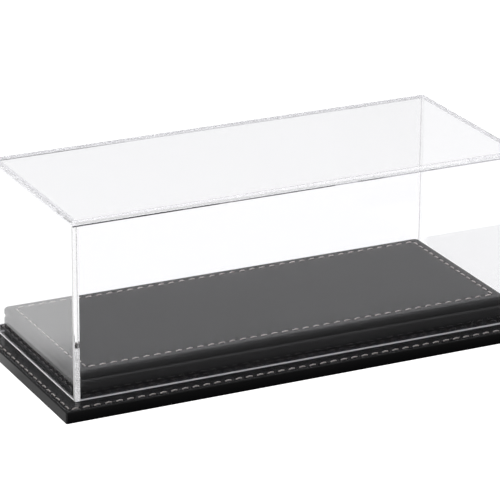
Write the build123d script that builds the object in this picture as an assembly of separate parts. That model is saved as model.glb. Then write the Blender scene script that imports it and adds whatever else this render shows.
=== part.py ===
from build123d import *
import os

# Display case: a clear cover of five cemented acrylic sheets that lifts off a leatherette-wrapped base.
# The base is a wide thin plinth with a raised platform of two wrapped boards, the riser and the deck.
# Millimetres. +X along the length, +Y to the back, +Z up. The origin is the middle of the underside.

# ---- Driving dimensions: cover ----
cover_length = 305.0
cover_depth = 126.3
cover_height = 115.7
sheet = 3.5                # thickness of every acrylic sheet
arris = 0.3                # polished chamfer on the free edges of the sheets

# ---- Driving dimensions: base ----
overhang_x = 10.5          # plinth beyond the cover at each end
overhang_y = 11.4          # plinth beyond the cover at front and back
slip_x = 1.7               # clearance from the cover's inner face to the platform, at each end
slip_y = 0.8               # the same at front and back
plinth_height = 8.1
riser_height = 12.3
deck_height = 5.6
skin = 0.9                 # thickness of the leatherette
padding_height = 0.8       # foam sheet under the deck's leatherette
turn_in = 14.0             # width of the leatherette glued under each board
sheet_gap = 0.4            # clearance between a turned-in edge and the sheet that fills the window

# ---- Edge roundings of the wrapped layers: plan corner, top edge, bottom edge ----
plinth_round = (1.0, 1.4, 0.6)
riser_round = (3.4, 2.0, 0.6)
deck_round = (3.6, 1.8, 2.0)
least_round = 0.15         # a board's edge is never sharper than this inside its wrap

# ---- Stitching ----
plinth_stitch_inset = 3.5  # from the plinth's side face to the middle of the thread
deck_stitch_inset = 6.2    # from the deck's side face to the middle of the thread
stitch_pitch = 7.2
stitch_share = 0.75        # part of each pitch where the thread shows
thread = 1.0               # width of the thread
thread_proud = 0.4         # height of the thread above the leatherette

# ---- Screws from the plinth board up into the riser board ----
screw_shank = 3.5
screw_head = 7.0
screw_length = 16.0
screw_point = 3.0          # length of the tapered point
screw_hole_gap = 0.05      # clearance round the shank in both boards
screw_inset_x = 40.0       # from the platform's end to a screw's axis
screw_inset_y = 28.0       # from the platform's front or back to a screw's axis
driver_size = 2.4          # width of the driver recess across its points
driver_depth = 1.2

# ---- Derived sizes ----
plinth_length = cover_length + 2 * overhang_x
plinth_depth = cover_depth + 2 * overhang_y
platform_length = cover_length - 2 * (sheet + slip_x)
platform_depth = cover_depth - 2 * (sheet + slip_y)
plinth_top = plinth_height
riser_top = plinth_top + riser_height
deck_top = riser_top + deck_height
wall_height = cover_height - sheet

LOW = (Align.CENTER, Align.CENTER, Align.MIN)


def block(length, depth, height, bottom):
    """A plain box centred on the Z axis, standing at the height bottom."""
    return Pos(0, 0, bottom) * Box(length, depth, height, align=LOW)


def rounded_block(length, depth, height, bottom, rounds):
    """A box with rounded plan corners, top edge and bottom edge."""
    corner, upper, lower = rounds
    solid = block(length, depth, height, bottom)
    solid = fillet(solid.edges().filter_by(Axis.Z), corner)
    solid = fillet(solid.faces().sort_by(Axis.Z)[-1].edges(), upper)
    return fillet(solid.faces().sort_by(Axis.Z)[0].edges(), lower)


def wrapped_layer(length, depth, height, bottom, rounds, pad=0.0):
    """The board, padding and leatherette of one layer.

    The leatherette covers the top and sides, and is turned under by turn_in. Inside it are the board
    and, where pad is over 0, a padding sheet on top of the board.
    """
    inner_rounds = tuple(max(r - skin, least_round) for r in rounds)
    inner_length = length - 2 * skin
    inner_depth = depth - 2 * skin
    inner_height = height - 2 * skin
    filling = rounded_block(inner_length, inner_depth, inner_height, bottom + skin, inner_rounds)
    window = block(length - 2 * turn_in, depth - 2 * turn_in, skin, bottom)
    leather = rounded_block(length, depth, height, bottom, rounds) - filling - window
    split = bottom + skin + inner_height - pad
    padding = filling & block(length, depth, height, split)
    board = filling - padding
    return board, padding, leather


def window_sheet(length, depth, bottom):
    """The sheet that fills the window between the turned-in edges under a layer."""
    margin = 2 * (turn_in + sheet_gap)
    return block(length - margin, depth - margin, skin, bottom)


def stitch_row(run, along_x, offset, height):
    """One straight row of stitches, centred, with a whole number of pitches in its run."""
    count = round(run / stitch_pitch)
    pitch = run / count
    turn = 0 if along_x else 90
    stitch = extrude(SlotOverall(stitch_share * pitch, thread), thread_proud)
    stitch = fillet(stitch.faces().sort_by(Axis.Z)[-1].edges(), thread_proud / 2)
    row = []
    for index in range(count):
        place = (index + 0.5) * pitch - run / 2
        spot = Pos(place, offset, height) if along_x else Pos(offset, place, height)
        row.append(spot * Rot(0, 0, turn) * stitch)
    return row


def stitching(length, depth, inset, height):
    """All stitches round one layer: two long rows and two short rows on its top face."""
    half_x = length / 2 - inset
    half_y = depth / 2 - inset
    stitches = []
    for side in (-1, 1):
        stitches += stitch_row(2 * half_x, True, side * half_y, height)
        stitches += stitch_row(2 * half_y, False, side * half_x, height)
    return Compound(children=stitches)


def screw():
    """A countersunk wood screw, head down at Z = 0 and point up, with a square driver recess."""
    head_height = (screw_head - screw_shank) / 2
    head = Cone(screw_head / 2, screw_shank / 2, head_height, align=LOW)
    shank = Cylinder(screw_shank / 2, screw_length - screw_point, align=LOW)
    point = Cone(screw_shank / 2, 0, screw_point, align=LOW)
    recess = Box(driver_size, driver_size, driver_depth, align=LOW)
    return head + shank + Pos(0, 0, screw_length - screw_point) * point - recess


def screw_bore():
    """The countersunk hole of one screw, wider than the screw by its clearance."""
    radius = screw_shank / 2 + screw_hole_gap
    head_radius = screw_head / 2 + screw_hole_gap
    sink = Cone(head_radius, radius, head_radius - radius, align=LOW)
    return sink + Cylinder(radius, screw_length + screw_hole_gap, align=LOW)


def screw_spots():
    """The four places of the screws, on the underside of the plinth board."""
    spot_x = platform_length / 2 - screw_inset_x
    spot_y = platform_depth / 2 - screw_inset_y
    return [Pos(sx * spot_x, sy * spot_y, skin) for sx in (-1, 1) for sy in (-1, 1)]


def end_sheet(side):
    """An end wall of the cover, full depth, with its foot and its outer upright edges chamfered."""
    wall = block(sheet, cover_depth, wall_height, plinth_top)
    wall = Pos(side * (cover_length - sheet) / 2, 0, 0) * wall
    outer = wall.faces().sort_by(Axis.X)[-1 if side > 0 else 0]
    foot = wall.faces().sort_by(Axis.Z)[0].edges()
    return chamfer(outer.edges().filter_by(Axis.Z) + foot, arris)


def long_sheet(side):
    """A front or back wall of the cover, between the end walls, with its foot chamfered."""
    wall = block(cover_length - 2 * sheet, sheet, wall_height, plinth_top)
    wall = Pos(0, side * (cover_depth - sheet) / 2, 0) * wall
    foot = wall.faces().sort_by(Axis.Z)[0].edges().filter_by(Axis.X)
    return chamfer(foot, arris)


def top_sheet():
    """The top of the cover, lying on all four walls, with its upper and upright edges chamfered."""
    top = block(cover_length, cover_depth, sheet, plinth_top + wall_height)
    upper = top.faces().sort_by(Axis.Z)[-1].edges()
    return chamfer(upper + top.edges().filter_by(Axis.Z), arris)


def build_plinth():
    """The wide lower board, its wrap, its stitching and the felt under it."""
    board, _, leather = wrapped_layer(plinth_length, plinth_depth, plinth_height, 0, plinth_round)
    for spot in screw_spots():
        board -= spot * screw_bore()
        leather -= spot * screw_bore()
    return {
        "plinth_board": board,
        "plinth_leather": leather,
        "plinth_stitching": stitching(plinth_length, plinth_depth, plinth_stitch_inset, plinth_top),
        "underside_felt": window_sheet(plinth_length, plinth_depth, 0),
    }


def build_riser():
    """The lower layer of the platform and the sheet that bonds it to the plinth."""
    size = (platform_length, platform_depth, riser_height, plinth_top)
    board, _, leather = wrapped_layer(*size, riser_round)
    bond = window_sheet(platform_length, platform_depth, plinth_top)
    for spot in screw_spots():
        board -= spot * screw_bore()
        bond -= spot * screw_bore()
    return {"riser_board": board, "riser_leather": leather, "riser_bond_sheet": bond}


def build_deck():
    """The upper layer of the platform: board, padding, wrap, stitching and bond sheet."""
    size = (platform_length, platform_depth, deck_height, riser_top)
    board, padding, leather = wrapped_layer(*size, deck_round, padding_height)
    return {
        "deck_board": board,
        "deck_padding": padding,
        "deck_leather": leather,
        "deck_stitching": stitching(platform_length, platform_depth, deck_stitch_inset, deck_top),
        "deck_bond_sheet": window_sheet(platform_length, platform_depth, riser_top),
    }


def build_screws():
    """The four screws that join plinth and riser, in one node."""
    return {"base_screws": Compound(children=[spot * screw() for spot in screw_spots()])}


def build_cover():
    """The five acrylic sheets of the cover."""
    return {
        "cover_top_sheet": top_sheet(),
        "cover_front_sheet": long_sheet(-1),
        "cover_back_sheet": long_sheet(1),
        "cover_left_sheet": end_sheet(-1),
        "cover_right_sheet": end_sheet(1),
    }


os.makedirs("parts", exist_ok=True)
pieces = {**build_plinth(), **build_riser(), **build_deck(), **build_screws(), **build_cover()}
for name, shape in pieces.items():
    export_step(shape, f"parts/{name}.step")
    print(f"{name}: {len(shape.solids())} solids, {shape.volume / 1000:.2f} cm3")
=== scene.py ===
"""Looks of a display case: a clear acrylic cover that lifts off a stitched leatherette base.

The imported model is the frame. Every size here is in metres and comes from the frame's own boxes,
or is the size of a detail too small for the frame, such as a stitch hole or the grain of the leatherette.
"""

from __future__ import annotations

import logging
import math
from abc import ABC, abstractmethod
from dataclasses import dataclass, field
from enum import Enum
from typing import Any, ClassVar

import bmesh
import bpy
from mathutils import Matrix, Vector


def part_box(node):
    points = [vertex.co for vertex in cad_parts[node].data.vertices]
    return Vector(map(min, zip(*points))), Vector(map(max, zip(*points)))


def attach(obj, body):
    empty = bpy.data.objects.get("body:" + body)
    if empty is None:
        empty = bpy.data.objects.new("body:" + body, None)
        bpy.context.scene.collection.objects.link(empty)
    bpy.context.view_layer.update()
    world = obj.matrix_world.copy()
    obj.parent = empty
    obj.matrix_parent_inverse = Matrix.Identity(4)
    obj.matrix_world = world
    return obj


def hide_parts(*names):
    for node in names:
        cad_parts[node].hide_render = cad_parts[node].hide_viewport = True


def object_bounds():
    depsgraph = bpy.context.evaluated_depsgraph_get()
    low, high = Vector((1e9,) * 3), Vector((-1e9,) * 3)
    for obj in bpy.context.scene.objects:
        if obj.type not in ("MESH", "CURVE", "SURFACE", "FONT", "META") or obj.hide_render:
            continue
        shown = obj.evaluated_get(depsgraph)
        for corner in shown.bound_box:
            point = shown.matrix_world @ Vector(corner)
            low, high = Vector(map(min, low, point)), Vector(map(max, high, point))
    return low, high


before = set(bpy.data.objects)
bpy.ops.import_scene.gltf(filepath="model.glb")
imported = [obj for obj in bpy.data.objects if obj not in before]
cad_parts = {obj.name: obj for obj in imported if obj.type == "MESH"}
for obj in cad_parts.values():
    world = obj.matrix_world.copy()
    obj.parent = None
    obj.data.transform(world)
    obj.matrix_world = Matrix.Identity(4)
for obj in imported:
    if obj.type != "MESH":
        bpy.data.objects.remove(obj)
CAD_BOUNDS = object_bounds()

LOG = logging.getLogger("display_case")
MM = 0.001
MERGE = 1e-7


# ---------------------------------------------------------------- colour and node helpers


def linear(hex_code: str, alpha: float = 1.0) -> tuple[float, float, float, float]:
    """Turn an sRGB hex value into a linear colour.

    Args:
        hex_code: Six hex digits, with or without a leading hash.
        alpha: The fourth number of the colour.

    Returns:
        Linear red, green and blue, and the alpha.
    """
    digits = hex_code.lstrip("#")
    parts = [int(digits[i:i + 2], 16) / 255 for i in (0, 2, 4)]
    knee, slope, shift, power = 0.04045, 12.92, 0.055, 2.4
    red, green, blue = (c / slope if c <= knee else ((c + shift) / (1 + shift)) ** power for c in parts)
    return red, green, blue, alpha


def add_node(
    tree: bpy.types.NodeTree,
    kind: str,
    settings: dict[str, Any] | None = None,
    inputs: dict[int | str, Any] | None = None,
) -> bpy.types.Node:
    """Add one node, with its settings, and give its inputs a value or a link.

    Args:
        tree: The tree that gets the node.
        kind: The node's type name.
        settings: Attributes of the node.
        inputs: Input name or index, and either a value or the output socket that feeds it.

    Returns:
        The new node.
    """
    node = tree.nodes.new(kind)
    for key, value in (settings or {}).items():
        setattr(node, key, value)
    for key, value in (inputs or {}).items():
        if isinstance(value, bpy.types.NodeSocket):
            tree.links.new(value, node.inputs[key])
        else:
            node.inputs[key].default_value = value
    return node


def per_metre(size_mm: float) -> float:
    """Texture scale that repeats once every size_mm millimetres."""
    return 1 / (size_mm * MM)


# ---------------------------------------------------------------- finishes


@dataclass(frozen=True)
class Finish(ABC):
    """A surface finish that can be put on a piece."""

    name: str

    @abstractmethod
    def wire(self, tree: bpy.types.NodeTree) -> bpy.types.NodeSocket:
        """Build the nodes of the finish.

        Args:
            tree: The material's empty node tree.

        Returns:
            The shader socket for the surface.
        """

    def material(self) -> bpy.types.Material:
        """Return the material of this finish, made once and then shared."""
        known = bpy.data.materials.get(self.name)
        if known:
            return known
        made = bpy.data.materials.new(self.name)
        made.use_nodes = True
        made.node_tree.nodes.clear()
        surface = self.wire(made.node_tree)
        add_node(made.node_tree, "ShaderNodeOutputMaterial", inputs={"Surface": surface})
        return made


@dataclass(frozen=True)
class CastAcrylic(Finish):
    """Cast PMMA sheet, clear and glossy.

    The index of 1.49 gives the bright slivers along the edges and the strong glare on a face seen
    at a low angle. Lamps pass straight through, so that what stands inside is lit.
    """

    tint: str = "#FEFEFF"
    ior: float = 1.49
    wave_mm: float = 60.0
    wave_height_mm: float = 0.01

    def wire(self, tree: bpy.types.NodeTree) -> bpy.types.NodeSocket:
        """Clear body with the very slight waviness of a cast face."""
        place = add_node(tree, "ShaderNodeTexCoord").outputs["Object"]
        wave = add_node(
            tree,
            "ShaderNodeTexNoise",
            inputs={"Vector": place, "Scale": per_metre(self.wave_mm), "Detail": 1.0},
        )
        bump = add_node(
            tree,
            "ShaderNodeBump",
            inputs={"Height": wave.outputs[0], "Distance": self.wave_height_mm * MM, "Strength": 0.4},
        )
        body = add_node(
            tree,
            "ShaderNodeBsdfPrincipled",
            inputs={
                "Base Color": linear(self.tint),
                "Roughness": 0.0,
                "IOR": self.ior,
                "Transmission Weight": 1.0,
                "Normal": bump.outputs[0],
            },
        )
        clear = add_node(tree, "ShaderNodeBsdfTransparent", inputs={"Color": linear("#F6F5F7")})
        path = add_node(tree, "ShaderNodeLightPath")
        mix = add_node(
            tree,
            "ShaderNodeMixShader",
            inputs={0: path.outputs["Is Shadow Ray"], 1: body.outputs[0], 2: clear.outputs[0]},
        )
        return mix.outputs[0]


@dataclass(frozen=True)
class PolishedEdge(Finish):
    """Saw-cut and polished edge of an acrylic sheet.

    Light that travels inside the sheet comes out here, so the edge glows, a little grey and uneven
    because the buffing never takes the saw's lines out completely.
    """

    tint: str = "#F3F3F4"
    ior: float = 1.49
    saw_mm: float = 2.5
    saw_height_mm: float = 0.004
    haze: float = 0.06

    def wire(self, tree: bpy.types.NodeTree) -> bpy.types.NodeSocket:
        """Slightly hazy glass with fine uneven lines."""
        place = add_node(tree, "ShaderNodeTexCoord").outputs["Object"]
        lines = add_node(
            tree,
            "ShaderNodeTexNoise",
            inputs={"Vector": place, "Scale": per_metre(self.saw_mm), "Detail": 2.0},
        )
        bump = add_node(
            tree,
            "ShaderNodeBump",
            inputs={"Height": lines.outputs[0], "Distance": self.saw_height_mm * MM, "Strength": 0.3},
        )
        body = add_node(
            tree,
            "ShaderNodeBsdfPrincipled",
            inputs={
                "Base Color": linear(self.tint),
                "Roughness": self.haze,
                "IOR": self.ior,
                "Transmission Weight": 1.0,
                "Normal": bump.outputs[0],
            },
        )
        clear = add_node(tree, "ShaderNodeBsdfTransparent", inputs={"Color": linear("#E6E6EC")})
        path = add_node(tree, "ShaderNodeLightPath")
        mix = add_node(
            tree,
            "ShaderNodeMixShader",
            inputs={0: path.outputs["Is Shadow Ray"], 1: body.outputs[0], 2: clear.outputs[0]},
        )
        return mix.outputs[0]


@dataclass(frozen=True)
class SawnEdge(Finish):
    """Edge of an acrylic sheet left as the saw cut it, under the walls where nobody looks.

    It is frosted, so it gathers the light that runs down inside the wall and glows as a white line. Narrow
    bands of the same frost on the side sheets' outer faces, at their front and back ends, are a painted
    highlight along the upright corners.
    """

    colour: str = "#FFFFFF"
    clear: float = 0.05
    frost: float = 0.5

    def wire(self, tree: bpy.types.NodeTree) -> bpy.types.NodeSocket:
        """White frost that lets a little light straight through."""
        cut = add_node(
            tree,
            "ShaderNodeBsdfPrincipled",
            inputs={
                "Base Color": linear(self.colour),
                "Roughness": self.frost,
                "IOR": 1.49,
                "Transmission Weight": self.clear,
            },
        )
        return cut.outputs[0]


@dataclass(frozen=True)
class SolventCement(Finish):
    """Cemented face between two acrylic sheets.

    The solvent fuses the sheets, so most of the light goes straight on from one to the other. The rest
    is scattered, which draws a grey line round the top; streaks of trapped bubbles darken it in places.
    """

    clear: str = "#F5F5F6"
    streak: str = "#6E6E72"
    milk: str = "#F0F0F1"
    streak_mm: float = 7.0
    share: float = 0.3
    scatter: float = 0.5

    def wire(self, tree: bpy.types.NodeTree) -> bpy.types.NodeSocket:
        """A see-through, slightly milky film with seeded dark streaks."""
        place = add_node(tree, "ShaderNodeTexCoord").outputs["Object"]
        noise = add_node(
            tree,
            "ShaderNodeTexNoise",
            inputs={"Vector": place, "Scale": per_metre(self.streak_mm), "Detail": 3.0, "Roughness": 0.6},
        )
        amount = add_node(
            tree,
            "ShaderNodeMapRange",
            {"interpolation_type": "SMOOTHSTEP"},
            {"Value": noise.outputs[0], "From Min": 1 - self.share, "From Max": 1.06 - self.share},
        )
        colour = add_node(
            tree,
            "ShaderNodeMix",
            {"data_type": "RGBA"},
            {"Factor": amount.outputs[0], "A": linear(self.clear), "B": linear(self.streak)},
        )
        milk = add_node(
            tree,
            "ShaderNodeMix",
            {"data_type": "RGBA"},
            {"Factor": amount.outputs[0], "A": linear(self.milk), "B": linear(self.streak)},
        )
        film = add_node(tree, "ShaderNodeBsdfTransparent", inputs={"Color": colour.outputs["Result"]})
        veil = add_node(tree, "ShaderNodeBsdfDiffuse", inputs={"Color": milk.outputs["Result"]})
        path = add_node(tree, "ShaderNodeLightPath")
        lit = add_node(
            tree, "ShaderNodeMath", {"operation": "SUBTRACT"}, {0: 1.0, 1: path.outputs["Is Shadow Ray"]}
        )
        share = add_node(
            tree, "ShaderNodeMath", {"operation": "MULTIPLY"}, {0: lit.outputs[0], 1: self.scatter}
        )
        mix = add_node(
            tree,
            "ShaderNodeMixShader",
            inputs={0: share.outputs[0], 1: film.outputs[0], 2: veil.outputs[0]},
        )
        return mix.outputs[0]


@dataclass(frozen=True)
class CementBead(Finish):
    """Line of cement that has crept out along a seam and set, dark where it is thick, with painted shade
    darkening it towards the left end of the front seam.
    """

    thin: str = "#CDCDCF"
    thick: str = "#4C4C4F"
    run_mm: float = 24.0
    # where the painted shade starts and ends along X
    shade_from: float = -152 * MM
    shade_to: float = -45 * MM

    def wire(self, tree: bpy.types.NodeTree) -> bpy.types.NodeSocket:
        """See-through grey in random runs, darkened towards the left end of the front seam by painted
        shade.
        """
        place = add_node(tree, "ShaderNodeTexCoord").outputs["Object"]
        split = add_node(tree, "ShaderNodeSeparateXYZ", inputs={0: place})
        noise = add_node(
            tree,
            "ShaderNodeTexNoise",
            inputs={"Vector": place, "Scale": per_metre(self.run_mm), "Detail": 4.0, "Roughness": 0.65},
        )
        # painted shade: a ramp that darkens the bead towards the left end of the front seam
        end = add_node(
            tree,
            "ShaderNodeMapRange",
            inputs={
                "Value": split.outputs[0],
                "From Min": self.shade_from,
                "From Max": self.shade_to,
                "To Min": 0.42,
                "To Max": 0.0,
            },
        )
        weight = add_node(
            tree, "ShaderNodeMath", {"operation": "ADD"}, {0: noise.outputs[0], 1: end.outputs[0]}
        )
        amount = add_node(
            tree,
            "ShaderNodeMapRange",
            {"interpolation_type": "SMOOTHSTEP"},
            {"Value": weight.outputs[0], "From Min": 0.5, "From Max": 0.8},
        )
        colour = add_node(
            tree,
            "ShaderNodeMix",
            {"data_type": "RGBA"},
            {"Factor": amount.outputs[0], "A": linear(self.thin), "B": linear(self.thick)},
        )
        bead = add_node(tree, "ShaderNodeBsdfTransparent", inputs={"Color": colour.outputs["Result"]})
        return bead.outputs[0]


@dataclass(frozen=True)
class PuLeatherette(Finish):
    """Black polyurethane leatherette, embossed with a fine grain and semi-matte.

    The grain breaks the sheen up, and soft lighter streaks along X are a painted sheen mixed into the
    colour.
    """

    colour: str = "#0C0C0D"
    # painted sheen: the lighter colour of the soft streaks along X
    painted_sheen: str = "#19191B"
    grain_mm: float = 0.6
    pore_mm: float = 0.22
    mottle_mm: float = 22.0
    grain_height_mm: float = 0.05
    sheen: float = 0.25

    def wire(self, tree: bpy.types.NodeTree) -> bpy.types.NodeSocket:
        """Grain cells, pores and painted sheen streaks over a dark coat."""
        place = add_node(tree, "ShaderNodeTexCoord").outputs["Object"]
        cells = add_node(
            tree,
            "ShaderNodeTexVoronoi",
            {"feature": "SMOOTH_F1"},
            {"Vector": place, "Scale": per_metre(self.grain_mm), "Smoothness": 0.6, "Randomness": 0.9},
        )
        pores = add_node(
            tree,
            "ShaderNodeTexNoise",
            inputs={"Vector": place, "Scale": per_metre(self.pore_mm), "Detail": 2.0},
        )
        stretch = add_node(tree, "ShaderNodeMapping", inputs={"Vector": place, "Scale": (0.35, 1.0, 1.0)})
        mottle = add_node(
            tree,
            "ShaderNodeTexNoise",
            inputs={
                "Vector": stretch.outputs[0],
                "Scale": per_metre(self.mottle_mm),
                "Detail": 1.0,
                "Roughness": 0.5,
            },
        )
        fine = add_node(
            tree,
            "ShaderNodeMath",
            {"operation": "MULTIPLY_ADD"},
            {0: pores.outputs[0], 1: 0.25, 2: cells.outputs["Distance"]},
        )
        bump = add_node(
            tree,
            "ShaderNodeBump",
            inputs={"Height": fine.outputs[0], "Distance": self.grain_height_mm * MM, "Strength": 0.18},
        )
        # mix the painted sheen streaks into the leatherette's colour
        colour = add_node(
            tree,
            "ShaderNodeMix",
            {"data_type": "RGBA"},
            {"Factor": mottle.outputs[0], "A": linear(self.colour), "B": linear(self.painted_sheen)},
        )
        coat = add_node(
            tree,
            "ShaderNodeBsdfPrincipled",
            inputs={
                "Base Color": colour.outputs["Result"],
                "Roughness": self.sheen,
                "IOR": 1.42,
                "Normal": bump.outputs[0],
            },
        )
        return coat.outputs[0]


@dataclass(frozen=True)
class PolyesterThread(Finish):
    """Bonded polyester sewing thread, pale and matte, with its plies showing as slanting ridges."""

    colour: str = "#CFC8C6"
    shade: str = "#968E8C"
    plies: float = 3.0
    twist_mm: float = 1.9

    def wire(self, tree: bpy.types.NodeTree) -> bpy.types.NodeSocket:
        """Slanting ply ridges from the thread's own map."""
        lay = add_node(tree, "ShaderNodeAttribute", {"attribute_name": "thread_map"})
        split = add_node(tree, "ShaderNodeSeparateXYZ", inputs={0: lay.outputs["Vector"]})
        along = add_node(
            tree,
            "ShaderNodeMath",
            {"operation": "MULTIPLY"},
            {0: split.outputs[0], 1: per_metre(self.twist_mm)},
        ).outputs[0]
        turn = add_node(
            tree,
            "ShaderNodeMath",
            {"operation": "MULTIPLY_ADD"},
            {0: split.outputs[1], 1: self.plies, 2: along},
        ).outputs[0]
        ridge = add_node(tree, "ShaderNodeMath", {"operation": "PINGPONG"}, {0: turn, 1: 0.5}).outputs[0]
        lift = add_node(tree, "ShaderNodeMath", {"operation": "MULTIPLY"}, {0: ridge, 1: 2.0})
        colour = add_node(
            tree,
            "ShaderNodeMix",
            {"data_type": "RGBA"},
            {"Factor": lift.outputs[0], "A": linear(self.shade), "B": linear(self.colour)},
        )
        bump = add_node(
            tree, "ShaderNodeBump", inputs={"Height": ridge, "Distance": 0.1 * MM, "Strength": 0.6}
        )
        yarn = add_node(
            tree,
            "ShaderNodeBsdfPrincipled",
            inputs={
                "Base Color": colour.outputs["Result"],
                "Roughness": 0.7,
                "Sheen Weight": 0.2,
                "Normal": bump.outputs[0],
            },
        )
        return yarn.outputs[0]


@dataclass(frozen=True)
class Fibreboard(Finish):
    """Sanded MDF: even brown with pressed wood fibres."""

    pale: str = "#B08D63"
    dark: str = "#8A6A45"
    fibre_mm: float = 0.8

    def wire(self, tree: bpy.types.NodeTree) -> bpy.types.NodeSocket:
        """Short fibres as stretched noise, with a dull surface."""
        place = add_node(tree, "ShaderNodeTexCoord").outputs["Object"]
        stretch = add_node(tree, "ShaderNodeMapping", inputs={"Vector": place, "Scale": (0.3, 1.0, 1.0)})
        fibre = add_node(
            tree,
            "ShaderNodeTexNoise",
            inputs={"Vector": stretch.outputs[0], "Scale": per_metre(self.fibre_mm), "Detail": 5.0},
        )
        colour = add_node(
            tree,
            "ShaderNodeMix",
            {"data_type": "RGBA"},
            {"Factor": fibre.outputs[0], "A": linear(self.dark), "B": linear(self.pale)},
        )
        bump = add_node(
            tree,
            "ShaderNodeBump",
            inputs={"Height": fibre.outputs[0], "Distance": 0.05 * MM, "Strength": 0.5},
        )
        board = add_node(
            tree,
            "ShaderNodeBsdfPrincipled",
            inputs={"Base Color": colour.outputs["Result"], "Roughness": 0.8, "Normal": bump.outputs[0]},
        )
        return board.outputs[0]


@dataclass(frozen=True)
class SoftSheet(Finish):
    """A soft or sticky sheet with a fine cell or fibre structure, such as foam, felt or bond film."""

    pale: str = "#888888"
    dark: str = "#555555"
    cell_mm: float = 0.5
    depth_mm: float = 0.15
    roughness: float = 0.9
    fuzz: float = 0.0

    def wire(self, tree: bpy.types.NodeTree) -> bpy.types.NodeSocket:
        """Cells or tangled fibres as noise, in colour and in relief."""
        place = add_node(tree, "ShaderNodeTexCoord").outputs["Object"]
        cell = add_node(
            tree,
            "ShaderNodeTexNoise",
            inputs={"Vector": place, "Scale": per_metre(self.cell_mm), "Detail": 4.0, "Distortion": 1.5},
        )
        colour = add_node(
            tree,
            "ShaderNodeMix",
            {"data_type": "RGBA"},
            {"Factor": cell.outputs[0], "A": linear(self.dark), "B": linear(self.pale)},
        )
        bump = add_node(
            tree,
            "ShaderNodeBump",
            inputs={"Height": cell.outputs[0], "Distance": self.depth_mm * MM, "Strength": 0.7},
        )
        cloth = add_node(
            tree,
            "ShaderNodeBsdfPrincipled",
            inputs={
                "Base Color": colour.outputs["Result"],
                "Roughness": self.roughness,
                "Sheen Weight": self.fuzz,
                "Normal": bump.outputs[0],
            },
        )
        return cloth.outputs[0]


@dataclass(frozen=True)
class ZincPlatedSteel(Finish):
    """Zinc-plated screw steel: a grey metal with cloudy passivation."""

    colour: str = "#B9BAB6"
    cloud_mm: float = 1.5

    def wire(self, tree: bpy.types.NodeTree) -> bpy.types.NodeSocket:
        """Metal whose roughness changes in small clouds."""
        place = add_node(tree, "ShaderNodeTexCoord").outputs["Object"]
        cloud = add_node(
            tree,
            "ShaderNodeTexNoise",
            inputs={"Vector": place, "Scale": per_metre(self.cloud_mm), "Detail": 3.0},
        )
        rough = add_node(
            tree, "ShaderNodeMapRange", inputs={"Value": cloud.outputs[0], "To Min": 0.28, "To Max": 0.5}
        )
        metal = add_node(
            tree,
            "ShaderNodeBsdfPrincipled",
            inputs={"Base Color": linear(self.colour), "Metallic": 1.0, "Roughness": rough.outputs[0]},
        )
        return metal.outputs[0]


ACRYLIC = CastAcrylic("cast_acrylic")
EDGE = PolishedEdge("polished_edge")
SAWN = SawnEdge("sawn_edge")
# greyer, clearer sawn edge under the front and back sheets: painted shade that dims their foot lines
SHADED_SAWN = SawnEdge("shaded_sawn_edge", "#BEBEC2", 0.3)
CEMENT = SolventCement("solvent_cement")
BEAD = CementBead("cement_bead")
LEATHERETTE = PuLeatherette("pu_leatherette")
THREAD = PolyesterThread("polyester_thread")
FIBREBOARD = Fibreboard("fibreboard")
FOAM = SoftSheet("foam_sheet", "#9A9A98", "#6E6E6C", 0.6, 0.2)
FELT = SoftSheet("wool_felt", "#232325", "#101011", 0.35, 0.2, 0.95, 0.4)
BOND = SoftSheet("bond_film", "#CFC9B4", "#B9B29A", 1.2, 0.03, 0.45)
ZINC = ZincPlatedSteel("zinc_plated_steel")


# ---------------------------------------------------------------- outlines and sections


@dataclass(frozen=True)
class RingPoint:
    """One point of an offset outline, with where it lies along its straight side."""

    x: float
    y: float
    along: float | None
    half_run: float


@dataclass(frozen=True)
class RoundedOutline:
    """A rounded rectangle centred on the Z axis, that can be offset inwards ring by ring."""

    half_x: float
    half_y: float
    corner: float
    steps_x: int
    steps_y: int
    corner_steps: int = 6

    def ring(self, inset: float) -> list[RingPoint]:
        """Walk the outline anticlockwise, offset inwards.

        Args:
            inset: Distance from the outer edge.

        Returns:
            The same number of points for every inset.
        """
        radius = max(self.corner - inset, 0.0)
        flat_x = max(self.half_x - inset - radius, 0.0)
        flat_y = max(self.half_y - inset - radius, 0.0)
        points: list[RingPoint] = []
        sides = (
            (Vector((1, 0)), Vector((0, -1)), flat_x, flat_y + radius, self.steps_x, self.half_x),
            (Vector((0, 1)), Vector((1, 0)), flat_y, flat_x + radius, self.steps_y, self.half_y),
            (Vector((-1, 0)), Vector((0, 1)), flat_x, flat_y + radius, self.steps_x, self.half_x),
            (Vector((0, -1)), Vector((-1, 0)), flat_y, flat_x + radius, self.steps_y, self.half_y),
        )
        for way, out, flat, reach, steps, half in sides:
            for index in range(steps):
                along = flat * (2 * index / steps - 1)
                spot = way * along + out * reach
                points.append(RingPoint(spot.x, spot.y, along, half))
            for index in range(self.corner_steps):
                turn = math.radians(90) * index / self.corner_steps
                spot = way * (flat + radius * math.sin(turn))
                spot += out * (reach - radius + radius * math.cos(turn))
                points.append(RingPoint(spot.x, spot.y, None, half))
        return points


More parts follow.
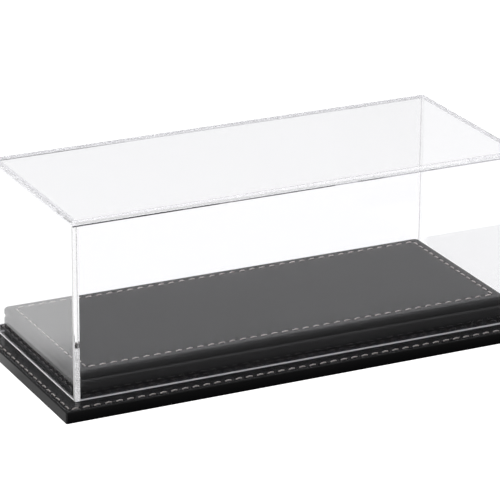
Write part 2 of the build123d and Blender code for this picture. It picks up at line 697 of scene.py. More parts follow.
@dataclass(frozen=True)
class StitchLine:
    """The line of stitches set in from a layer's edge, and what it does to the leatherette."""

    inset: float
    pitch_x: float
    pitch_y: float
    groove: float = 0.42 * MM
    width: float = 0.85 * MM
    pucker: float = 0.16 * MM
    roll: float = 0.12 * MM
    shoulder: float = 0.1 * MM
    shoulder_length: float = 4.0 * MM

    def drop(self, inset: float) -> float:
        """How far the surface lies under its highest level at a distance from the edge."""
        across = (inset - self.inset) / self.width
        fall = self.groove * math.exp(-across * across)
        if inset < self.inset:
            return fall + self.shoulder + self.roll * (1 - inset / self.inset) ** 2
        return fall + self.shoulder * math.exp(-(inset - self.inset) / self.shoulder_length)

    def pull(self, inset: float, along: float, half_run: float, pitch: float) -> float:
        """How much deeper the thread pulls the surface beside each needle hole.

        Args:
            inset: Distance from the edge.
            along: Place along the side, from its middle.
            half_run: Half of the side's length at the outer edge.
            pitch: Distance between needle holes on this side.

        Returns:
            The extra depth.
        """
        reach = half_run - self.inset
        if abs(along) > reach:
            return 0.0
        phase = (along + reach) / pitch
        hole = (0.5 + 0.5 * math.cos(2 * math.pi * phase)) ** 2
        across = (inset - self.inset) / (1.5 * self.width)
        return self.pucker * hole * math.exp(-across * across)


def arc(
    centre: tuple[float, float], radius: float, start: float, end: float, steps: int
) -> list[tuple[float, float]]:
    """Points on an arc of a layer's section.

    Args:
        centre: Inset and height of the arc's centre.
        radius: The arc's radius.
        start: First angle, in degrees.
        end: Last angle, in degrees.
        steps: Number of pieces that the arc is cut into.

    Returns:
        Pairs of inset and height, the two ends included.
    """
    made = []
    for index in range(steps + 1):
        turn = math.radians(start + (end - start) * index / steps)
        made.append((centre[0] + radius * math.cos(turn), centre[1] + radius * math.sin(turn)))
    return made


# ---------------------------------------------------------------- pieces


def make_piece(
    name: str, mesh: bpy.types.Mesh, finish: Finish | None, body: str, replaced: tuple[str, ...]
) -> bpy.types.Object:
    """Put a finished mesh into the scene as a piece of the object.

    Args:
        name: The piece's name.
        mesh: Its mesh, in place.
        finish: Its finish, or None where the mesh already carries its materials.
        body: The CAD body that it moves with.
        replaced: The CAD nodes that it stands for.

    Returns:
        The new object.
    """
    piece = bpy.data.objects.new(name, mesh)
    bpy.context.scene.collection.objects.link(piece)
    if finish:
        mesh.materials.clear()
        mesh.materials.append(finish.material())
    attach(piece, body)
    if replaced:
        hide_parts(*replaced)
    LOG.info("%s: %d faces on %s", name, len(mesh.polygons), body)
    return piece


@dataclass
class WrappedLayer:
    """One board of the base, wrapped in leatherette that is turned under its edges."""

    name: str
    node: str
    skin: float
    corner: float
    upper: float
    lower: float
    turn_in: float
    stitch: StitchLine | None = None
    samples: int = 8
    nap: float = 0.05 * MM
    half_x: float = field(init=False, default=0.0)

    def outline(self) -> RoundedOutline:
        """The layer's outer outline, with steps that follow the stitches."""
        _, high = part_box(self.node)
        half_x, half_y = high.x, high.y
        if self.stitch is None:
            return RoundedOutline(half_x, half_y, self.corner, 60, 30)
        steps_x = self.samples * round(2 * (half_x - self.stitch.inset) / self.stitch.pitch_x)
        steps_y = self.samples * round(2 * (half_y - self.stitch.inset) / self.stitch.pitch_y)
        return RoundedOutline(half_x, half_y, self.corner, steps_x, steps_y)

    def top_insets(self) -> list[float]:
        """Distances from the edge of the rings that make the top face, from the middle outwards."""
        half_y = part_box(self.node)[1].y
        far = [0.5 * half_y, 0.42 * half_y]
        if self.stitch is None:
            return far + [self.turn_in, 3 * self.upper]
        seam, width = self.stitch.inset, self.stitch.width
        inside = [seam + width * k for k in (14, 10, 7, 5, 3.6, 2.6, 2.0, 1.5, 1.1, 0.8, 0.5, 0.25)]
        outside = [seam - width * k for k in (0.25, 0.5, 0.8, 1.1, 1.5, 2.0, 2.6, 3.4, 4.4, 5.6)]
        return far + inside + [seam] + [d for d in outside if d > 1.1 * self.upper]

    def top_height(self, point: RingPoint, inset: float, top: float) -> float:
        """Height of the leatherette's upper face at one point."""
        level = top - self.nap
        if self.stitch is not None:
            level -= self.stitch.drop(inset)
            if point.along is not None:
                across = self.stitch.pitch_x if abs(point.half_run - self.half_x) < MERGE else None
                pitch = across or self.stitch.pitch_y
                level -= self.stitch.pull(inset, point.along, point.half_run, pitch)
        return level

    def build(self) -> bpy.types.Object:
        """Loft the wrap's closed section round the outline and dress it."""
        low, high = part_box(self.node)
        bottom, top = low.z, high.z
        self.half_x = high.x
        outline = self.outline()
        rows: list[list[Vector]] = []
        for inset in self.top_insets():
            ring = outline.ring(inset)
            rows.append([Vector((p.x, p.y, self.top_height(p, inset, top))) for p in ring])
        edge_drop = top - rows[-1][-1].z
        for inset, height in self.section(bottom, top, edge_drop):
            rows.append([Vector((p.x, p.y, height)) for p in outline.ring(inset)])
        mesh = loft(self.name, rows)
        return make_piece(self.name, mesh, LEATHERETTE, "base", (self.node,))

    def section(self, bottom: float, top: float, edge_drop: float) -> list[tuple[float, float]]:
        """The wrap's section below its upper face: edge, side, turned-in strip and inner face.

        Args:
            bottom: Height of the underside.
            top: Height of the CAD layer's top.
            edge_drop: How far the upper face lies under top where the section starts.

        Returns:
            Pairs of inset and height, ending on the inner face.
        """
        crown = top - edge_drop
        inner = max(self.upper - self.skin, 0.3 * MM)
        under = bottom + self.skin
        ceiling = top - self.skin
        path = arc((self.upper, crown - self.upper), self.upper, 90, 180, 7)
        path += arc((self.lower, bottom + self.lower), self.lower, 180, 270, 5)
        path += [(self.turn_in, bottom), (self.turn_in, under), (self.skin + inner, under)]
        path += [(self.skin, under + inner), (self.skin, ceiling - inner), (self.skin + inner, ceiling)]
        path += [(self.turn_in, ceiling)]
        return path


def loft(name: str, rows: list[list[Vector]]) -> bpy.types.Mesh:
    """Join closed rings into one closed mesh, with a flat face over the first and the last ring.

    Args:
        name: The mesh's name.
        rows: Rings of equal length, in order.

    Returns:
        The mesh, merged, with its faces pointing outwards and smooth.
    """
    count = len(rows[0])
    points = [tuple(p) for row in rows for p in row]
    end = (len(rows) - 1) * count
    faces = [tuple(range(count - 1, -1, -1)), tuple(range(end, end + count))]
    for row in range(len(rows) - 1):
        here = row * count
        there = here + count
        for index in range(count):
            after = (index + 1) % count
            faces.append((here + index, here + after, there + after, there + index))
    mesh = bpy.data.meshes.new(name)
    mesh.from_pydata(points, [], faces)
    work = bmesh.new()
    work.from_mesh(mesh)
    bmesh.ops.remove_doubles(work, verts=work.verts, dist=MERGE)
    bmesh.ops.dissolve_degenerate(work, dist=MERGE, edges=work.edges)
    bmesh.ops.recalc_face_normals(work, faces=work.faces)
    for face in work.faces:
        face.smooth = True
    work.to_mesh(mesh)
    work.free()
    return mesh


# ---------------------------------------------------------------- stitches


class StitchTree:
    """The Geometry Nodes tree that sews stitches along straight edges."""

    NAME = "sewn_stitches"

    def build(self) -> bpy.types.NodeTree:
        """Return the tree, built once."""
        known = bpy.data.node_groups.get(self.NAME)
        if known:
            return known
        tree = bpy.data.node_groups.new(self.NAME, "GeometryNodeTree")
        face = tree.interface
        face.new_socket("Geometry", in_out="INPUT", socket_type="NodeSocketGeometry")
        face.new_socket("Geometry", in_out="OUTPUT", socket_type="NodeSocketGeometry")
        for label, value in (
            ("Pitch", 0.0072), ("Length", 0.0056), ("Thread", 0.0009), ("Rise", 0.0003), ("Dive", 0.0005),
            ("Slant", 0.1), ("Slant Spread", 0.05),
        ):
            face.new_socket(label, in_out="INPUT", socket_type="NodeSocketFloat").default_value = value
        face.new_socket("Seed", in_out="INPUT", socket_type="NodeSocketInt").default_value = 5
        face.new_socket("Material", in_out="INPUT", socket_type="NodeSocketMaterial")
        given = add_node(tree, "NodeGroupInput").outputs
        stitch = self.one_stitch(tree, given)
        line = add_node(tree, "GeometryNodeMeshToCurve", inputs={"Mesh": given["Geometry"]})
        spots = add_node(
            tree,
            "GeometryNodeCurveToPoints",
            {"mode": "LENGTH"},
            {"Curve": line.outputs[0], "Length": given["Pitch"]},
        )
        way = add_node(
            tree,
            "FunctionNodeAlignRotationToVector",
            {"axis": "X", "pivot_axis": "Z"},
            {"Vector": spots.outputs["Tangent"]},
        )
        least = add_node(
            tree, "ShaderNodeMath", {"operation": "SUBTRACT"}, {0: given["Slant"], 1: given["Slant Spread"]}
        ).outputs[0]
        most = add_node(
            tree, "ShaderNodeMath", {"operation": "ADD"}, {0: given["Slant"], 1: given["Slant Spread"]}
        ).outputs[0]
        lean = add_node(
            tree,
            "FunctionNodeRandomValue",
            {"data_type": "FLOAT"},
            {"Min": least, "Max": most, "Seed": given["Seed"]},
        )
        # a float Random Value node keeps its vector sockets first, so the float ones go in by position
        tree.links.new(least, lean.inputs[2])
        tree.links.new(most, lean.inputs[3])
        euler = add_node(tree, "ShaderNodeCombineXYZ", inputs={"Z": lean.outputs[1]})
        turn = add_node(tree, "FunctionNodeEulerToRotation", inputs={0: euler.outputs[0]})
        laid = add_node(
            tree,
            "FunctionNodeRotateRotation",
            {"rotation_space": "LOCAL"},
            {"Rotation": way.outputs[0], "Rotate By": turn.outputs[0]},
        )
        sewn = add_node(
            tree,
            "GeometryNodeInstanceOnPoints",
            inputs={"Points": spots.outputs["Points"], "Instance": stitch, "Rotation": laid.outputs[0]},
        )
        real = add_node(tree, "GeometryNodeRealizeInstances", inputs={0: sewn.outputs[0]})
        done = add_node(
            tree,
            "GeometryNodeSetMaterial",
            inputs={"Geometry": real.outputs[0], "Material": given["Material"]},
        )
        add_node(tree, "NodeGroupOutput", inputs={"Geometry": done.outputs[0]})
        return tree

    def one_stitch(self, tree: bpy.types.NodeTree, given: Any) -> bpy.types.NodeSocket:
        """One arched stitch along X, thin at its ends, which dive into the needle holes.

        Args:
            tree: The tree that gets the nodes.
            given: The group's inputs.

        Returns:
            The socket with the stitch's mesh.
        """
        half = add_node(
            tree, "ShaderNodeMath", {"operation": "MULTIPLY"}, {0: given["Length"], 1: 0.5}
        ).outputs[0]
        back = add_node(
            tree, "ShaderNodeMath", {"operation": "MULTIPLY"}, {0: given["Length"], 1: -0.5}
        ).outputs[0]
        deep = add_node(
            tree, "ShaderNodeMath", {"operation": "MULTIPLY"}, {0: given["Dive"], 1: -1.0}
        ).outputs[0]
        high = add_node(
            tree, "ShaderNodeMath", {"operation": "MULTIPLY"}, {0: given["Rise"], 1: 2.0}
        ).outputs[0]
        start = add_node(tree, "ShaderNodeCombineXYZ", inputs={"X": back, "Z": deep})
        peak = add_node(tree, "ShaderNodeMath", {"operation": "ADD"}, {0: high, 1: given["Dive"]})
        middle = add_node(tree, "ShaderNodeCombineXYZ", inputs={"Z": peak.outputs[0]})
        end = add_node(tree, "ShaderNodeCombineXYZ", inputs={"X": half, "Z": deep})
        bow = add_node(
            tree,
            "GeometryNodeCurveQuadraticBezier",
            inputs={
                "Resolution": 8,
                "Start": start.outputs[0],
                "Middle": middle.outputs[0],
                "End": end.outputs[0],
            },
        )
        spline = add_node(tree, "GeometryNodeSplineParameter")
        angle = add_node(
            tree, "ShaderNodeMath", {"operation": "MULTIPLY"}, {0: spline.outputs["Factor"], 1: math.pi}
        )
        swell = add_node(tree, "ShaderNodeMath", {"operation": "SINE"}, {0: angle.outputs[0]})
        full = add_node(tree, "ShaderNodeMath", {"operation": "POWER"}, {0: swell.outputs[0], 1: 0.5})
        thick = add_node(
            tree, "ShaderNodeMath", {"operation": "MULTIPLY_ADD"}, {0: full.outputs[0], 1: 0.75, 2: 0.25}
        )
        shaped = add_node(
            tree, "GeometryNodeSetCurveRadius", inputs={"Curve": bow.outputs[0], "Radius": thick.outputs[0]}
        )
        along = add_node(tree, "GeometryNodeCaptureAttribute", inputs={0: shaped.outputs[0]})
        along.capture_items.new("FLOAT", "Along")
        tree.links.new(spline.outputs["Length"], along.inputs[1])
        radius = add_node(tree, "ShaderNodeMath", {"operation": "MULTIPLY"}, {0: given["Thread"], 1: 0.5})
        ring = add_node(
            tree,
            "GeometryNodeCurvePrimitiveCircle",
            {"mode": "RADIUS"},
            {"Resolution": 8, "Radius": radius.outputs[0]},
        )
        around = add_node(tree, "GeometryNodeCaptureAttribute", inputs={0: ring.outputs[0]})
        around.capture_items.new("FLOAT", "Around")
        tree.links.new(spline.outputs["Factor"], around.inputs[1])
        tube = add_node(
            tree,
            "GeometryNodeCurveToMesh",
            inputs={"Curve": along.outputs[0], "Profile Curve": around.outputs[0], "Fill Caps": True},
        )
        lay = add_node(tree, "ShaderNodeCombineXYZ", inputs={"X": along.outputs[1], "Y": around.outputs[1]})
        stored = add_node(
            tree,
            "GeometryNodeStoreNamedAttribute",
            {"data_type": "FLOAT_VECTOR", "domain": "POINT"},
            {"Geometry": tube.outputs[0], "Name": "thread_map", "Value": lay.outputs[0]},
        )
        smooth = add_node(tree, "GeometryNodeSetShadeSmooth", inputs={0: stored.outputs[0]})
        return smooth.outputs[0]


@dataclass
class Stitching:
    """All stitches round one wrapped layer."""

    name: str
    node: str
    layer: WrappedLayer
    thread: float = 0.9 * MM
    share: float = 0.56
    rise: float = 0.06
    dive: float = 0.42
    sink: float = 0.1
    seed: int = 5

    def build(self) -> bpy.types.Object:
        """Lay the four rows with the stitch tree and turn the result into a plain mesh."""
        line = self.layer.stitch
        _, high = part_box(self.layer.node)
        reach_x, reach_y = high.x - line.inset, high.y - line.inset
        height = high.z - self.layer.nap - self.sink * self.thread
        rows = []
        for way, out, run, reach, pitch in (
            (Vector((1, 0, 0)), Vector((0, -1, 0)), reach_x, reach_y, line.pitch_x),
            (Vector((0, 1, 0)), Vector((1, 0, 0)), reach_y, reach_x, line.pitch_y),
            (Vector((-1, 0, 0)), Vector((0, 1, 0)), reach_x, reach_y, line.pitch_x),
            (Vector((0, -1, 0)), Vector((-1, 0, 0)), reach_y, reach_x, line.pitch_y),
        ):
            first = out * reach - way * (run - pitch / 2) + Vector((0, 0, height))
            last = out * reach + way * (run - pitch / 2) + Vector((0, 0, height))
            rows.append((first, last, pitch))
        pieces = [self.sew(rows[0], rows[2], "long"), self.sew(rows[1], rows[3], "short")]
        mesh = join_meshes(self.name, pieces)
        return make_piece(self.name, mesh, THREAD, "base", (self.node,))

    def sew(self, one: tuple, other: tuple, label: str) -> bpy.types.Mesh:
        """Sew two parallel rows that share a pitch.

        Args:
            one: First point, last point and pitch of one row.
            other: The same for the row across from it.
            label: A word for the helper's name.

        Returns:
            The stitches as a plain mesh.
        """
        guide = bpy.data.meshes.new(f"{self.name}_{label}")
        guide.from_pydata([one[0], one[1], other[0], other[1]], [(0, 1), (2, 3)], [])
        holder = bpy.data.objects.new(guide.name, guide)
        bpy.context.scene.collection.objects.link(holder)
        sizes = {
            "Pitch": one[2] * 0.9999,
            "Length": one[2] * self.share,
            "Thread": self.thread,
            "Rise": self.rise * self.thread,
            "Dive": self.dive * self.thread,
            "Seed": self.seed,
            "Material": THREAD.material(),
        }
        return run_tree(holder, StitchTree().build(), sizes)


def run_tree(holder: bpy.types.Object, tree: bpy.types.NodeTree, sizes: dict[str, Any]) -> bpy.types.Mesh:
    """Run a Geometry Nodes tree on an object, take the result as a plain mesh and drop the object.

    Args:
        holder: The object that carries the guide mesh.
        tree: The tree.
        sizes: Values for the tree's named inputs.

    Returns:
        The realised mesh.
    """
    modifier = holder.modifiers.new(tree.name, "NODES")
    modifier.node_group = tree
    sockets = {s.name: s.identifier for s in tree.interface.items_tree if s.in_out == "INPUT"}
    for label, value in sizes.items():
        modifier[sockets[label]] = value
    evaluated = holder.evaluated_get(bpy.context.evaluated_depsgraph_get())
    mesh = bpy.data.meshes.new_from_object(evaluated)
    bpy.data.objects.remove(holder)
    return mesh


def join_meshes(name: str, meshes: list[bpy.types.Mesh]) -> bpy.types.Mesh:
    """Join plain meshes into one, keeping their attributes."""
    work = bmesh.new()
    for mesh in meshes:
        work.from_mesh(mesh)
    joined = bpy.data.meshes.new(name)
    work.to_mesh(joined)
    work.free()
    return joined


# ---------------------------------------------------------------- sub-assemblies


@dataclass
class Base:
    """The leatherette base: a wide plinth, a riser and a padded deck, with what holds them inside."""

    skin: float = 0.9 * MM
    turn_in: float = 14 * MM

    def stitch_line(self, node: str, thread_node: str, pitch: float, **shape: float) -> StitchLine:
        """Work a stitch line's place and pitches out from the frame.

        Args:
            node: The wrapped layer.
            thread_node: The layer's stitches.
            pitch: The usual distance between needle holes.
            shape: Sizes of the groove and what is beside it.

        Returns:
            The line.
        """
        high, thread_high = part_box(node)[1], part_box(thread_node)[1]
        half_thread = 0.5 * MM
        inset = high.x - (thread_high.x - half_thread)
        run_x, run_y = 2 * (high.x - inset), 2 * (high.y - inset)
        return StitchLine(inset, run_x / round(run_x / pitch), run_y / round(run_y / pitch), **shape)

    def build(self) -> None:
        """Make the three wraps and two lines of stitches, and dress what is inside."""
        plinth_line = self.stitch_line("plinth_leather", "plinth_stitching", 7.2 * MM)
        deck_line = self.stitch_line(
            "deck_leather",
            "deck_stitching",
            7.2 * MM,
            groove=0.1 * MM,
            pucker=0.06 * MM,
            roll=0.14 * MM,
            shoulder=0.17 * MM,
            shoulder_length=6 * MM,
        )
        plinth = WrappedLayer(
            "plinth_wrap",
            "plinth_leather",
            self.skin,
            1.0 * MM,
            1.2 * MM,
            0.6 * MM,
            self.turn_in,
            plinth_line,
        )
        riser = WrappedLayer(
            "riser_wrap", "riser_leather", self.skin, 3.4 * MM, 2.0 * MM, 0.6 * MM, self.turn_in
        )
        deck = WrappedLayer(
            "deck_wrap", "deck_leather", self.skin, 3.6 * MM, 1.8 * MM, 2.0 * MM, self.turn_in, deck_line
        )
        for layer in (plinth, riser, deck):
            layer.build()
        Stitching("plinth_stitches", "plinth_stitching", plinth, seed=3).build()
        Stitching("deck_stitches", "deck_stitching", deck, seed=8).build()
        inside = {
            "plinth_board": FIBREBOARD,
            "riser_board": FIBREBOARD,
            "deck_board": FIBREBOARD,
            "deck_padding": FOAM,
            "riser_bond_sheet": BOND,
            "deck_bond_sheet": BOND,
            "base_screws": ZINC,
            "underside_felt": FELT,
        }
        for node, finish in inside.items():
            dress(node, finish)


def dress(node: str, finish: Finish) -> None:
    """Give a CAD node its finish."""
    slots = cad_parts[node].material_slots
    for slot in slots:
        slot.material = finish.material()
    LOG.info("%s: %s", node, finish.name)


@dataclass
class Cover:
    """The lift-off cover of five acrylic sheets, fused edge to face with solvent cement."""

    gap: float = 0.02 * MM
    reach: float = 0.3 * MM
    bead: float = 0.4 * MM
    # width of the frosted white band at each end of the side sheets' outer faces: a painted highlight along
    # the upright corners
    glint_band: float = 2.2 * MM
    sides: tuple[str, ...] = ("top", "front", "back", "left", "right")
    bounds: tuple[Vector, Vector] = field(init=False)
    seam: float = field(init=False)
    FINISHES: ClassVar[tuple[Finish, ...]] = (ACRYLIC, EDGE, SAWN, SHADED_SAWN, CEMENT, BEAD)

    def build(self) -> None:
        """Make the five sheets."""
        boxes = [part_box(f"cover_{side}_sheet") for side in self.sides]
        low = Vector([min(box[0][axis] for box in boxes) for axis in range(3)])
        high = Vector([max(box[1][axis] for box in boxes) for axis in range(3)])
        self.bounds = (low, high)
        self.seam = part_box("cover_top_sheet")[0].z
        for side in self.sides:
            self.sheet(side)

    def sheet(self, side: str) -> bpy.types.Object:
        """One sheet, from its CAD solid, with its faces told apart: broad, polished edge and cemented.

        Args:
            side: The sheet's side of the cover.

        Returns:
            The new object.
        """
        node = f"cover_{side}_sheet"
        low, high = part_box(node)
        middle = (low + high) / 2
        others = [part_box(f"cover_{name}_sheet") for name in self.sides if name != side]
        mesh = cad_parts[node].data.copy()
        mesh.name = f"{side}_sheet"
        work = bmesh.new()
        work.from_mesh(mesh)
        bmesh.ops.remove_doubles(work, verts=work.verts, dist=MERGE)
        bmesh.ops.dissolve_limit(work, angle_limit=math.radians(1), verts=work.verts, edges=work.edges)
        self.cut_at(work, others)
        low_all, high_all = self.bounds
        self.cut(work, 2, self.seam - self.bead)
        self.cut(work, 2, self.seam + self.bead)
        # these two cuts bound the painted highlight bands at the front and back ends
        self.cut(work, 1, low_all.y + self.glint_band)
        self.cut(work, 1, high_all.y - self.glint_band)
        thin = min(range(3), key=lambda axis: high[axis] - low[axis])
        for face in work.faces:
            face.smooth = False
            face.material_index = self.kind(face, thin, others)
        for vert in work.verts:
            away = vert.co - middle
            vert.co = middle + Vector(tuple(a - math.copysign(self.gap / 2, a) for a in away))
        mesh.materials.clear()
        for finish in self.FINISHES:
            mesh.materials.append(finish.material())
        work.to_mesh(mesh)
        work.free()
        return make_piece(f"{side}_sheet", mesh, None, "cover", (node,))

    def cut_at(self, work: bmesh.types.BMesh, others: list[tuple[Vector, Vector]]) -> None:
        """Cut the sheet's faces along the outlines of the sheets that meet them.

        Args:
            work: The sheet.
            others: Boxes of the other sheets.
        """
        for low, high in others:
            for corner in (low, high):
                for axis in range(3):
                    self.cut(work, axis, corner[axis])

    def cut(self, work: bmesh.types.BMesh, axis: int, place: float) -> None:
        """Cut the sheet's faces along a plane across one axis.

        Args:
            work: The sheet.
            axis: The axis that the plane is square to.
            place: Where the plane stands on the axis.
        """
        spot, normal = Vector((0, 0, 0)), Vector((0, 0, 0))
        spot[axis], normal[axis] = place, 1
        parts = work.verts[:] + work.edges[:] + work.faces[:]
        bmesh.ops.bisect_plane(work, geom=parts, dist=MERGE, plane_co=spot, plane_no=normal)

    def kind(self, face: bmesh.types.BMFace, thin: int, others: list[tuple[Vector, Vector]]) -> int:
        """Tell which of the cover's finishes a face gets, by its place in FINISHES.

        Args:
            face: The face.
            thin: The axis across the sheet.
            others: Boxes of the other sheets.

        Returns:
            The face's material slot.
        """
        centre = face.calc_center_median()
        spot = centre + face.normal * self.reach
        for low, high in others:
            if all(low[axis] < spot[axis] < high[axis] for axis in range(3)):
                return self.FINISHES.index(CEMENT if abs(face.normal.z) > 0.5 else ACRYLIC)
        low, high = self.bounds
        if face.normal.z < -0.5 and centre.z < low.z + MM:
            # the front and back sheets' bottoms get the sawn edge with painted shade
            return self.FINISHES.index(SAWN if thin == 0 else SHADED_SAWN)
        if abs(centre.z - self.seam) < self.bead and face.normal.y < -0.5:
            return self.FINISHES.index(BEAD)
        if abs(face.normal[thin]) < 0.99:
            return self.FINISHES.index(EDGE)
        # outer faces of the side sheets near the front and back ends get white frost: a painted highlight
        # along the upright corners
        near_end = min(centre.y - low.y, high.y - centre.y) < self.glint_band
        glint_band = thin == 0 and near_end and self.outside(centre)
        return self.FINISHES.index(SAWN if glint_band else ACRYLIC)

    def outside(self, spot: Vector) -> bool:
        """Whether a point lies on the outside of the cover's walls."""
        low, high = self.bounds
        return any(min(spot[axis] - low[axis], high[axis] - spot[axis]) < self.reach for axis in (0, 1))


# ---------------------------------------------------------------- studio


@dataclass
class Studio:
    """A white sweep, soft light from behind and above, and the camera."""

    white: float = 1.25
    behind: float = 1.16
    in_front: float = 0.22
    dim: float = 0.06
    backdrop: float = 0.43
    ceiling: float = 0.4
    through: float = 0.85
    table: float = 12.0
    sag: float = 0.3 * MM
    # glow of the floor at the base's left edge: a painted shadow
    left_near: float = 0.45
    left_reach: float = 100 * MM
    # glow of the floor at the base's front edge: a painted shadow
    front_near: float = 0.02
    front_reach: float = 50 * MM
    back_start: float = 30 * MM
    side_blend: float = 1 * MM
    right_reach: float = 20 * MM
    right_depth: float = 40 * MM
    yaw: float = 26.2254
    tilt: float = 20.6436
    roll: float = 0.4159
    lens_mm: float = 230.82
    stand: tuple[float, float, float] = (-0.6871, -1.6308, 0.7641)

    def build(self) -> None:
        """Set the camera first, then the floor, the surroundings and the lamps."""
        self.camera()
        self.floor()
        self.surroundings()
        self.lamps()
        scene = bpy.context.scene
        scene.view_settings.view_transform = "Standard"
        scene.cycles.max_bounces = 48
        scene.cycles.transmission_bounces = 48
        scene.cycles.glossy_bounces = 48
        scene.cycles.transparent_max_bounces = 16

    def camera(self) -> None:
        """Stand the camera off the near lower corner of the cover, turned, tilted and rolled."""
        low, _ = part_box("cover_left_sheet")
        corner = Vector((low.x, low.y, low.z))
        yaw, tilt, roll = (math.radians(v) for v in (self.yaw, self.tilt, self.roll))
        ahead = Vector((math.sin(yaw) * math.cos(tilt), math.cos(yaw) * math.cos(tilt), -math.sin(tilt)))
        right = ahead.cross(Vector((0, 0, 1))).normalized()
        above = right.cross(ahead)
        side = math.cos(roll) * right + math.sin(roll) * above
        top = math.cos(roll) * above - math.sin(roll) * right
        data = bpy.data.cameras.new("camera")
        data.lens = self.lens_mm
        data.sensor_width = 36.0
        data.clip_start = 0.05
        camera = bpy.data.objects.new("camera", data)
        bpy.context.scene.collection.objects.link(camera)
        turned = Matrix((side, top, -ahead)).transposed().to_4x4()
        camera.matrix_world = Matrix.Translation(corner + Vector(self.stand)) @ turned
        bpy.context.scene.camera = camera

    def floor(self) -> None:
        """A wide pale table that glows: white to the eye, and in reflections dim in front, brighter beside
        and behind, with a painted shadow of the base where its glow falls off close to the base's front and
        left side.

        It is clear from below, so the underside of the base can be seen.
        """
        size, level = self.table, -self.sag
        corners = [(-size, -size, level), (size, -size, level), (size, size, level), (-size, size, level)]
        mesh = bpy.data.meshes.new("floor")
        mesh.from_pydata(corners, [], [(0, 1, 2, 3)])
        floor = bpy.data.objects.new("floor", mesh)
        bpy.context.scene.collection.objects.link(floor)
        paper = bpy.data.materials.new("sweep_paper")
        paper.use_nodes = True
        tree = paper.node_tree
        tree.nodes.clear()
        place = add_node(tree, "ShaderNodeTexCoord").outputs["Object"]
        split = add_node(tree, "ShaderNodeSeparateXYZ", inputs={0: place})
        low, high = CAD_BOUNDS
        behind = add_node(
            tree,
            "ShaderNodeMapRange",
            {"interpolation_type": "SMOOTHSTEP"},
            {
                "Value": split.outputs[1],
                "From Min": low[1] + self.back_start,
                "From Max": high[1],
                "To Max": self.behind,
            },
        )
        # painted shadow: the floor's glow falls off close to the base's left side
        left = add_node(
            tree,
            "ShaderNodeMapRange",
            inputs={
                "Value": split.outputs[0],
                "From Min": low[0] - self.left_reach,
                "From Max": low[0],
                "To Min": self.behind,
                "To Max": self.left_near,
            },
        )
        beside = add_node(
            tree,
            "ShaderNodeMapRange",
            {"interpolation_type": "SMOOTHSTEP"},
            {
                "Value": split.outputs[0],
                "From Min": low[0] - self.side_blend,
                "From Max": low[0],
                "To Min": 1.0,
                "To Max": 0.0,
            },
        )
        left_glow = add_node(
            tree, "ShaderNodeMath", {"operation": "MULTIPLY"}, {0: left.outputs[0], 1: beside.outputs[0]}
        )
        right = add_node(
            tree,
            "ShaderNodeMapRange",
            {"interpolation_type": "SMOOTHSTEP"},
            {
                "Value": split.outputs[0],
                "From Min": high[0],
                "From Max": high[0] + self.right_reach,
                "To Max": self.behind,
            },
        )
        deep = add_node(
            tree,
            "ShaderNodeMapRange",
            {"interpolation_type": "SMOOTHSTEP"},
            {"Value": split.outputs[1], "From Min": low[1], "From Max": low[1] + self.right_depth},
        )
        right_glow = add_node(
            tree, "ShaderNodeMath", {"operation": "MULTIPLY"}, {0: right.outputs[0], 1: deep.outputs[0]}
        )
        sides = add_node(
            tree,
            "ShaderNodeMath",
            {"operation": "MAXIMUM"},
            {0: left_glow.outputs[0], 1: right_glow.outputs[0]},
        )
        glow = add_node(
            tree, "ShaderNodeMath", {"operation": "MAXIMUM"}, {0: behind.outputs[0], 1: sides.outputs[0]}
        )
        # painted shadow: the floor's glow falls to nearly nothing close to the base's front
        front = add_node(
            tree,
            "ShaderNodeMapRange",
            inputs={
                "Value": split.outputs[1],
                "From Min": low[1] - self.front_reach,
                "From Max": low[1],
                "To Min": self.in_front,
                "To Max": self.front_near,
            },
        )
        shaded = add_node(
            tree, "ShaderNodeMath", {"operation": "MAXIMUM"}, {0: glow.outputs[0], 1: front.outputs[0]}
        )
        strength = self.to_the_eye(tree, shaded.outputs[0])
        light = add_node(
            tree, "ShaderNodeEmission", inputs={"Color": linear("#FFFFFF"), "Strength": strength}
        )
        under = add_node(tree, "ShaderNodeNewGeometry").outputs["Backfacing"]
        clear = add_node(tree, "ShaderNodeBsdfTransparent")
        paper_or_clear = add_node(
            tree, "ShaderNodeMixShader", inputs={0: under, 1: light.outputs[0], 2: clear.outputs[0]}
        )
        add_node(tree, "ShaderNodeOutputMaterial", inputs={"Surface": paper_or_clear.outputs[0]})
        mesh.materials.append(paper)

    def to_the_eye(self, tree: bpy.types.NodeTree, lit: bpy.types.NodeSocket) -> bpy.types.NodeSocket:
        """White for the eye, also straight through clear sheets, and the given light after a reflection.

        Args:
            tree: The tree that gets the nodes.
            lit: The brightness that reflections and lit surfaces get.

        Returns:
            The socket with the brightness.
        """
        path = add_node(tree, "ShaderNodeLightPath").outputs
        turned = add_node(
            tree,
            "ShaderNodeMath",
            {"operation": "ADD"},
            {0: path["Glossy Depth"], 1: path["Diffuse Depth"]},
        )
        straight = add_node(
            tree, "ShaderNodeMath", {"operation": "LESS_THAN"}, {0: turned.outputs[0], 1: 0.5}
        )
        through = add_node(
            tree,
            "ShaderNodeMath",
            {"operation": "MULTIPLY"},
            {0: straight.outputs[0], 1: path["Is Transmission Ray"]},
        )
        clear = add_node(
            tree, "ShaderNodeMix", {"data_type": "FLOAT"}, {0: through.outputs[0], 2: lit, 3: self.behind}
        )
        strength = add_node(
            tree,
            "ShaderNodeMix",
            {"data_type": "FLOAT"},
            {0: path["Is Camera Ray"], 2: clear.outputs[0], 3: self.white},
        )
        return strength.outputs[0]

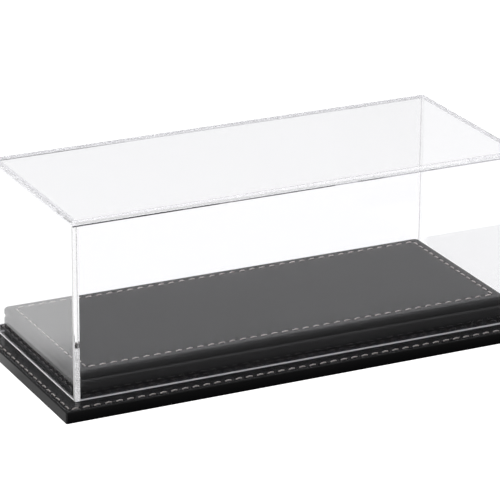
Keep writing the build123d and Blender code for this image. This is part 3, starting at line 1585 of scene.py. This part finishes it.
    def surroundings(self) -> None:
        """White to the eye; for light on the case, bright behind and dim in front."""
        world = bpy.data.worlds.new("studio")
        bpy.context.scene.world = world
        world.use_nodes = True
        tree = world.node_tree
        tree.nodes.clear()
        way = add_node(tree, "ShaderNodeTexCoord").outputs["Generated"]
        split = add_node(tree, "ShaderNodeSeparateXYZ", inputs={0: way})
        back = add_node(
            tree,
            "ShaderNodeMapRange",
            {"interpolation_type": "SMOOTHSTEP"},
            {
                "Value": split.outputs[1],
                "From Min": 0.25,
                "From Max": 0.8,
                "To Min": self.dim,
                "To Max": self.backdrop,
            },
        )
        across = add_node(
            tree,
            "ShaderNodeMapRange",
            {"interpolation_type": "SMOOTHSTEP"},
            {"Value": split.outputs[0], "From Min": -0.5, "From Max": 0.2, "To Min": 0.35, "To Max": 1.0},
        )
        backdrop = add_node(
            tree, "ShaderNodeMath", {"operation": "MULTIPLY"}, {0: back.outputs[0], 1: across.outputs[0]}
        )
        ceiling = add_node(
            tree,
            "ShaderNodeMapRange",
            {"interpolation_type": "SMOOTHSTEP"},
            {"Value": split.outputs[2], "From Min": 0.1, "From Max": 0.6, "To Max": self.ceiling},
        )
        room = add_node(
            tree,
            "ShaderNodeMath",
            {"operation": "MAXIMUM"},
            {0: backdrop.outputs[0], 1: ceiling.outputs[0]},
        )
        path = add_node(tree, "ShaderNodeLightPath")
        lit = add_node(
            tree,
            "ShaderNodeMix",
            {"data_type": "FLOAT"},
            {0: path.outputs["Is Transmission Ray"], 2: room.outputs[0], 3: self.through},
        )
        strength = self.to_the_eye(tree, lit.outputs[0])
        light = add_node(
            tree, "ShaderNodeBackground", inputs={"Color": linear("#FFFFFF"), "Strength": strength}
        )
        add_node(tree, "ShaderNodeOutputWorld", inputs={"Surface": light.outputs[0]})

    def lamps(self) -> None:
        """Two broad softboxes: one high behind the case, one high in front of it."""
        self.softbox("softbox_back", Vector((-0.3, 0.6, 1.5)), (1.6, 1.0), 5.0)
        self.softbox("softbox_front", Vector((-0.5, -0.9, 1.7)), (1.0, 0.8), 12.0)

    def softbox(self, name: str, place: Vector, size: tuple[float, float], power: float) -> None:
        """Hang one softbox, aimed at the case.

        Args:
            name: The lamp's name.
            place: Where it hangs.
            size: Its width and height.
            power: Its power in watts.
        """
        lamp = bpy.data.lights.new(name, "AREA")
        lamp.shape = "RECTANGLE"
        lamp.size, lamp.size_y = size
        lamp.energy = power
        holder = bpy.data.objects.new(name, lamp)
        bpy.context.scene.collection.objects.link(holder)
        aim = (-place).to_track_quat("-Z", "Y").to_matrix().to_4x4()
        holder.matrix_world = Matrix.Translation(place) @ aim


class Assembly(Enum):
    """The sub-assemblies, in the order that they are made."""

    STUDIO = Studio
    BASE = Base
    COVER = Cover


def main() -> None:
    """Make the studio and the object."""
    logging.basicConfig(level=logging.INFO, format="%(name)s %(message)s")
    for part in Assembly:
        part.value().build()
        LOG.info("made the %s", part.name.lower())


if __name__ == "__main__":
    main()
